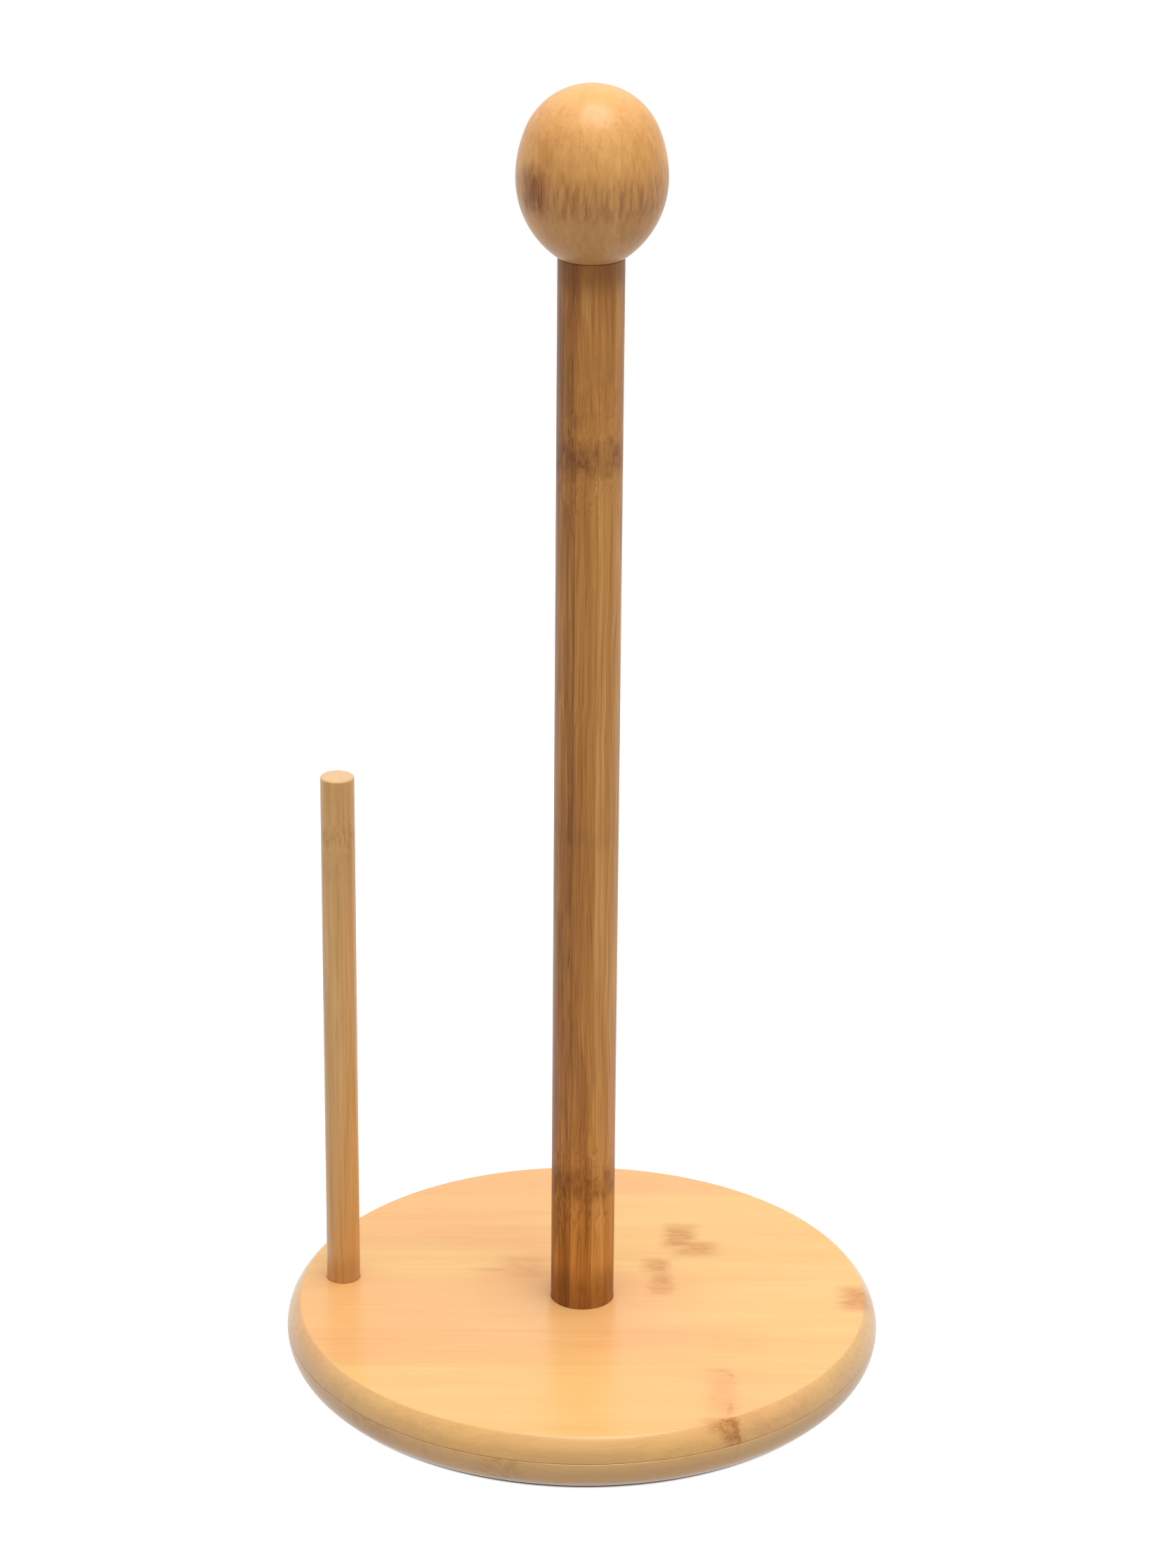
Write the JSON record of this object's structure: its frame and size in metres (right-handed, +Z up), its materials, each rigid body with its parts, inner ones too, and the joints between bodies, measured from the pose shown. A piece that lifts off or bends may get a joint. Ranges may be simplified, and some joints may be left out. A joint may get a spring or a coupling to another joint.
{
  "type": "paper towel holder",
  "caption": "Countertop paper towel holder: round two-ply bamboo base on rubber feet, centre post with a screw-on egg-shaped knob, and a shorter thin side rod.",
  "frame": {"origin": "the post's axis where it meets the supporting surface, which is the centre of the underside", "axes": "+Z up along the post; +X along the upper ply's grain; the side rod stands on the -X side, 8.3 degrees towards +Y"},
  "size_m": [0.151, 0.151, 0.3299],
  "materials": {
    "bamboo_top": "clear satin-gloss lacquer over pale laminated bamboo",
    "bamboo_bottom": "clear satin lacquer over laminated bamboo",
    "bamboo_post": "clear lacquer over caramelised bamboo dowel, lengthwise grain",
    "bamboo_knob": "clear lacquer over turned bamboo",
    "bamboo_rod": "clear lacquer over bamboo rod, lengthwise grain",
    "insert_brass": "turned and knurled, dull",
    "screw_steel": "zinc plated",
    "foot_rubber": "matt black rubber"
  },
  "bodies": {
    "stand": {"base_top_ply": "bamboo_top", "base_bottom_ply": "bamboo_bottom", "centre_post": "bamboo_post", "side_rod": "bamboo_rod", "post_insert": "insert_brass", "post_bolt": "screw_steel", "knob_stud": "screw_steel", "rod_screw": "screw_steel", "foot_1": "foot_rubber", "foot_2": "foot_rubber", "foot_3": "foot_rubber", "foot_4": "foot_rubber"},
    "knob_lift": {"knob_insert": "insert_brass"},
    "knob_grip": {"knob": "bamboo_knob"}
  },
  "joints": [
    {"name": "knob_rise", "type": "slide", "parent": "stand", "child": "knob_lift", "axis": [0, 0, 1], "range_m": [0, 0.0125]},
    {"name": "knob_turn", "type": "hinge", "parent": "knob_lift", "child": "knob_grip", "pos_m": [0, 0, 0.308], "axis": [0, 0, 1], "range_deg": [0, 4500]}
  ],
  "couplings": [
    {"joint": "knob_rise", "follows": "knob_turn", "m_per_rad": 0.00015915}
  ]
}
